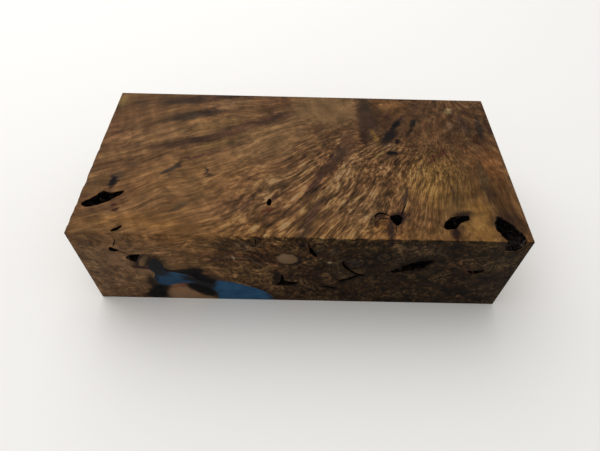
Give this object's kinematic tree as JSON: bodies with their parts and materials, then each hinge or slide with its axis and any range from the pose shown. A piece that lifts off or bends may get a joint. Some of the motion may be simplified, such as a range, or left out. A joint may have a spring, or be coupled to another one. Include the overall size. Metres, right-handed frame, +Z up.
{
  "type": "maple burl block",
  "caption": "Sawn and sanded rectangular block of maple burl with natural voids and a cast blue resin seam, a blank to turn, carve or slice into handle scales.",
  "frame": {"origin": "centre of the underside, which is the face the block rests on", "axes": "+X along the block's length, from the bandsawn end with kerf marks to the smooth end; +Y from the face that shows the blue resin to the back face; +Z up through the block's thickness"},
  "size_m": [0.127, 0.0628, 0.0337],
  "materials": {
    "burl_wood": "sanded brown burl wood, satin, with darker streaks, eyes and bark-dark voids",
    "blue_resin": "cast dark blue resin sanded flush, satin gloss"
  },
  "bodies": {
    "root": {"burl_block": "burl_wood", "blue_resin_seam": "blue_resin"}
  },
  "joints": []
}
